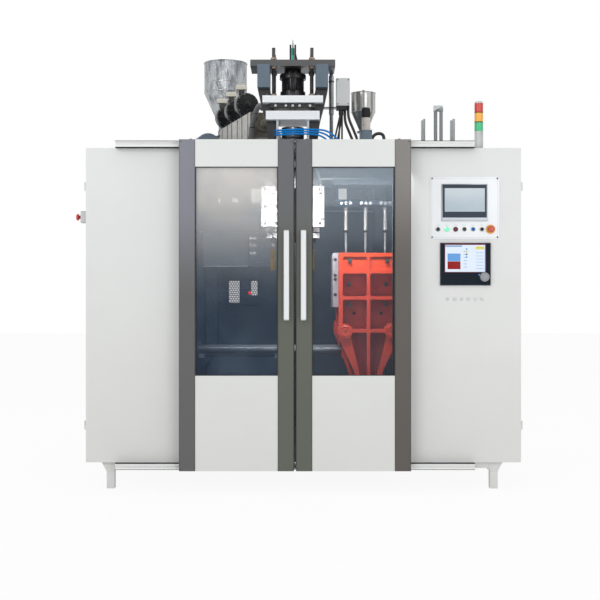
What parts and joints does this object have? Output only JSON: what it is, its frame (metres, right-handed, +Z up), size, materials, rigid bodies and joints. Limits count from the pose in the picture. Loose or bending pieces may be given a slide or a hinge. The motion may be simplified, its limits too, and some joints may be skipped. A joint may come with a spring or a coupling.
{
  "type": "blow moulding machine",
  "caption": "Shuttle blow moulding machine: white cabinets, two sliding window doors over the mould bay, operator panel, head tower, extruder and hoppers on top.",
  "frame": {"origin": "bottom centre of the whole machine's bounding box, on the floor", "axes": "+Z up, the sliding doors face -Y, +X towards the operator panel"},
  "size_m": [2.7435, 2.705, 3.071],
  "materials": {
    "white_paint": "satin",
    "grey_profile": "satin",
    "frame_paint": "satin",
    "door_glass": "polished",
    "handle_white": "gloss",
    "brushed": "brushed",
    "dark_plastic": "matte",
    "screen": "polished",
    "lamp": "gloss",
    "black_steel": "matte",
    "blue_plastic": "gloss",
    "yellow_plastic": "gloss",
    "red_plastic": "gloss",
    "light_plastic": "gloss",
    "lens": "gloss",
    "head_grey": "satin",
    "bright_plate": "brushed",
    "chrome": "polished",
    "black_metal": "satin",
    "hopper_steel": "brushed",
    "orange_cast": "satin",
    "mould_grey": "satin",
    "cable_black": "matte",
    "hose_blue": "gloss",
    "cylinder_green": "satin"
  },
  "bodies": {
    "machine": {"base_frame": "white_paint", "upper_frame": "frame_paint", "rear_guard": "white_paint", "door_rails": "grey_profile", "left_cabinet": "white_paint", "right_cabinet": "white_paint", "operator_plate": "brushed", "panel_bezels": "dark_plastic", "panel_screens": "screen", "pilot_lamps": "lamp", "stop_collar": "yellow_plastic", "signal_tower": "light_plastic", "signal_lenses": "lens", "die_head": "head_grey", "head_guards": "white_paint", "tower_legs": "black_metal", "tower_top": "head_grey", "upper_plate": "bright_plate", "head_cylinder": "black_metal", "head_sensor": "head_grey", "bright_bars": "chrome", "extruder_barrel": "head_grey", "blowers": "black_metal", "hoppers": "hopper_steel", "extruder_drive": "frame_paint", "small_extruder": "light_plastic", "junction_box": "light_plastic", "conduits": "cable_black", "air_hoses": "hose_blue", "shuttle_cylinder": "cylinder_green", "cabinet_equipment": "frame_paint"},
    "left_door": {"left_door_frame": "grey_profile", "left_door_panels": "white_paint", "left_door_window": "door_glass", "left_door_handle": "handle_white"},
    "right_door": {"right_door_frame": "grey_profile", "right_door_panels": "white_paint", "right_door_window": "door_glass", "right_door_handle": "handle_white"},
    "left_service": {"left_service_door": "white_paint", "side_stop_box": "yellow_plastic"},
    "side_stop": {"side_stop_button": "red_plastic"},
    "right_service": {"right_service_door": "white_paint"},
    "panel_stop": {"stop_button": "red_plastic"},
    "blue_push": {"blue_button": "blue_plastic"},
    "black_push": {"black_button": "black_steel"},
    "key_turn": {"key_switch": "black_steel"},
    "selector_turn": {"selector_switch": "black_steel"},
    "dial_turn": {"control_dial": "black_steel"},
    "carriage_body": {"carriage": "orange_cast"},
    "front_half": {"front_platen": "orange_cast", "moulds_front": "mould_grey", "tie_bars": "chrome", "clamp_yoke": "orange_cast"},
    "back_half": {"back_platen": "orange_cast", "moulds_back": "mould_grey", "clamp_rod": "chrome"},
    "pin_carrier": {"blow_pins": "chrome"},
    "head_lift": {"crosshead": "bright_plate"},
    "lift_body": {"lift": "brushed"}
  },
  "joints": [
    {"name": "left_door_slide", "type": "slide", "parent": "machine", "child": "left_door", "axis": [-1, 0, 0], "range_m": [0, 0.56]},
    {"name": "right_door_slide", "type": "slide", "parent": "machine", "child": "right_door", "axis": [1, 0, 0], "range_m": [0, 0.56]},
    {"name": "left_service_hinge", "type": "hinge", "parent": "machine", "child": "left_service", "pos_m": [-1.2845, -1.166, 1.85], "axis": [0, 0, 1], "range_deg": [0, 100]},
    {"name": "right_service_hinge", "type": "hinge", "parent": "machine", "child": "right_service", "pos_m": [1.3865, -1.166, 1.85], "axis": [0, 0, -1], "range_deg": [0, 100]},
    {"name": "side_stop_press", "type": "slide", "parent": "left_service", "child": "side_stop", "axis": [1, 0, 0], "range_m": [0, 0.004]},
    {"name": "panel_stop_press", "type": "slide", "parent": "machine", "child": "panel_stop", "axis": [0, 1, 0], "range_m": [0, 0.004]},
    {"name": "blue_press", "type": "slide", "parent": "machine", "child": "blue_push", "axis": [0, 1, 0], "range_m": [0, 0.004], "stiffness_N_per_m": 300},
    {"name": "black_press", "type": "slide", "parent": "machine", "child": "black_push", "axis": [0, 1, 0], "range_m": [0, 0.004], "stiffness_N_per_m": 300},
    {"name": "key_turn_axis", "type": "hinge", "parent": "machine", "child": "key_turn", "pos_m": [0.871, -1.2015, 1.586], "axis": [0, 1, 0], "range_deg": [0, 90]},
    {"name": "selector_axis", "type": "hinge", "parent": "machine", "child": "selector_turn", "pos_m": [1.0315, -1.2015, 1.586], "axis": [0, 1, 0], "range_deg": [-45, 45]},
    {"name": "dial_axis", "type": "hinge", "parent": "machine", "child": "dial_turn", "pos_m": [1.152, -1.2125, 1.295], "axis": [0, 1, 0], "continuous": true},
    {"name": "carriage_shuttle", "type": "slide", "parent": "machine", "child": "carriage_body", "axis": [-1, 0, 0], "range_m": [0, 0.488]},
    {"name": "front_clamp", "type": "slide", "parent": "carriage_body", "child": "front_half", "axis": [0, -1, 0], "range_m": [0, 0.15]},
    {"name": "back_clamp", "type": "slide", "parent": "carriage_body", "child": "back_half", "axis": [0, 1, 0], "range_m": [0, 0.15]},
    {"name": "blow_pin_lift", "type": "slide", "parent": "machine", "child": "pin_carrier", "axis": [0, 0, 1], "range_m": [0, 0.07]},
    {"name": "crosshead_slide", "type": "slide", "parent": "machine", "child": "head_lift", "axis": [0, 0, 1], "range_m": [0, 0.02]},
    {"name": "lift_slide", "type": "slide", "parent": "machine", "child": "lift_body", "axis": [0, 0, 1], "range_m": [-0.2, 0]}
  ],
  "couplings": [
    {"joint": "back_clamp", "follows": "front_clamp", "ratio": 1}
  ]
}
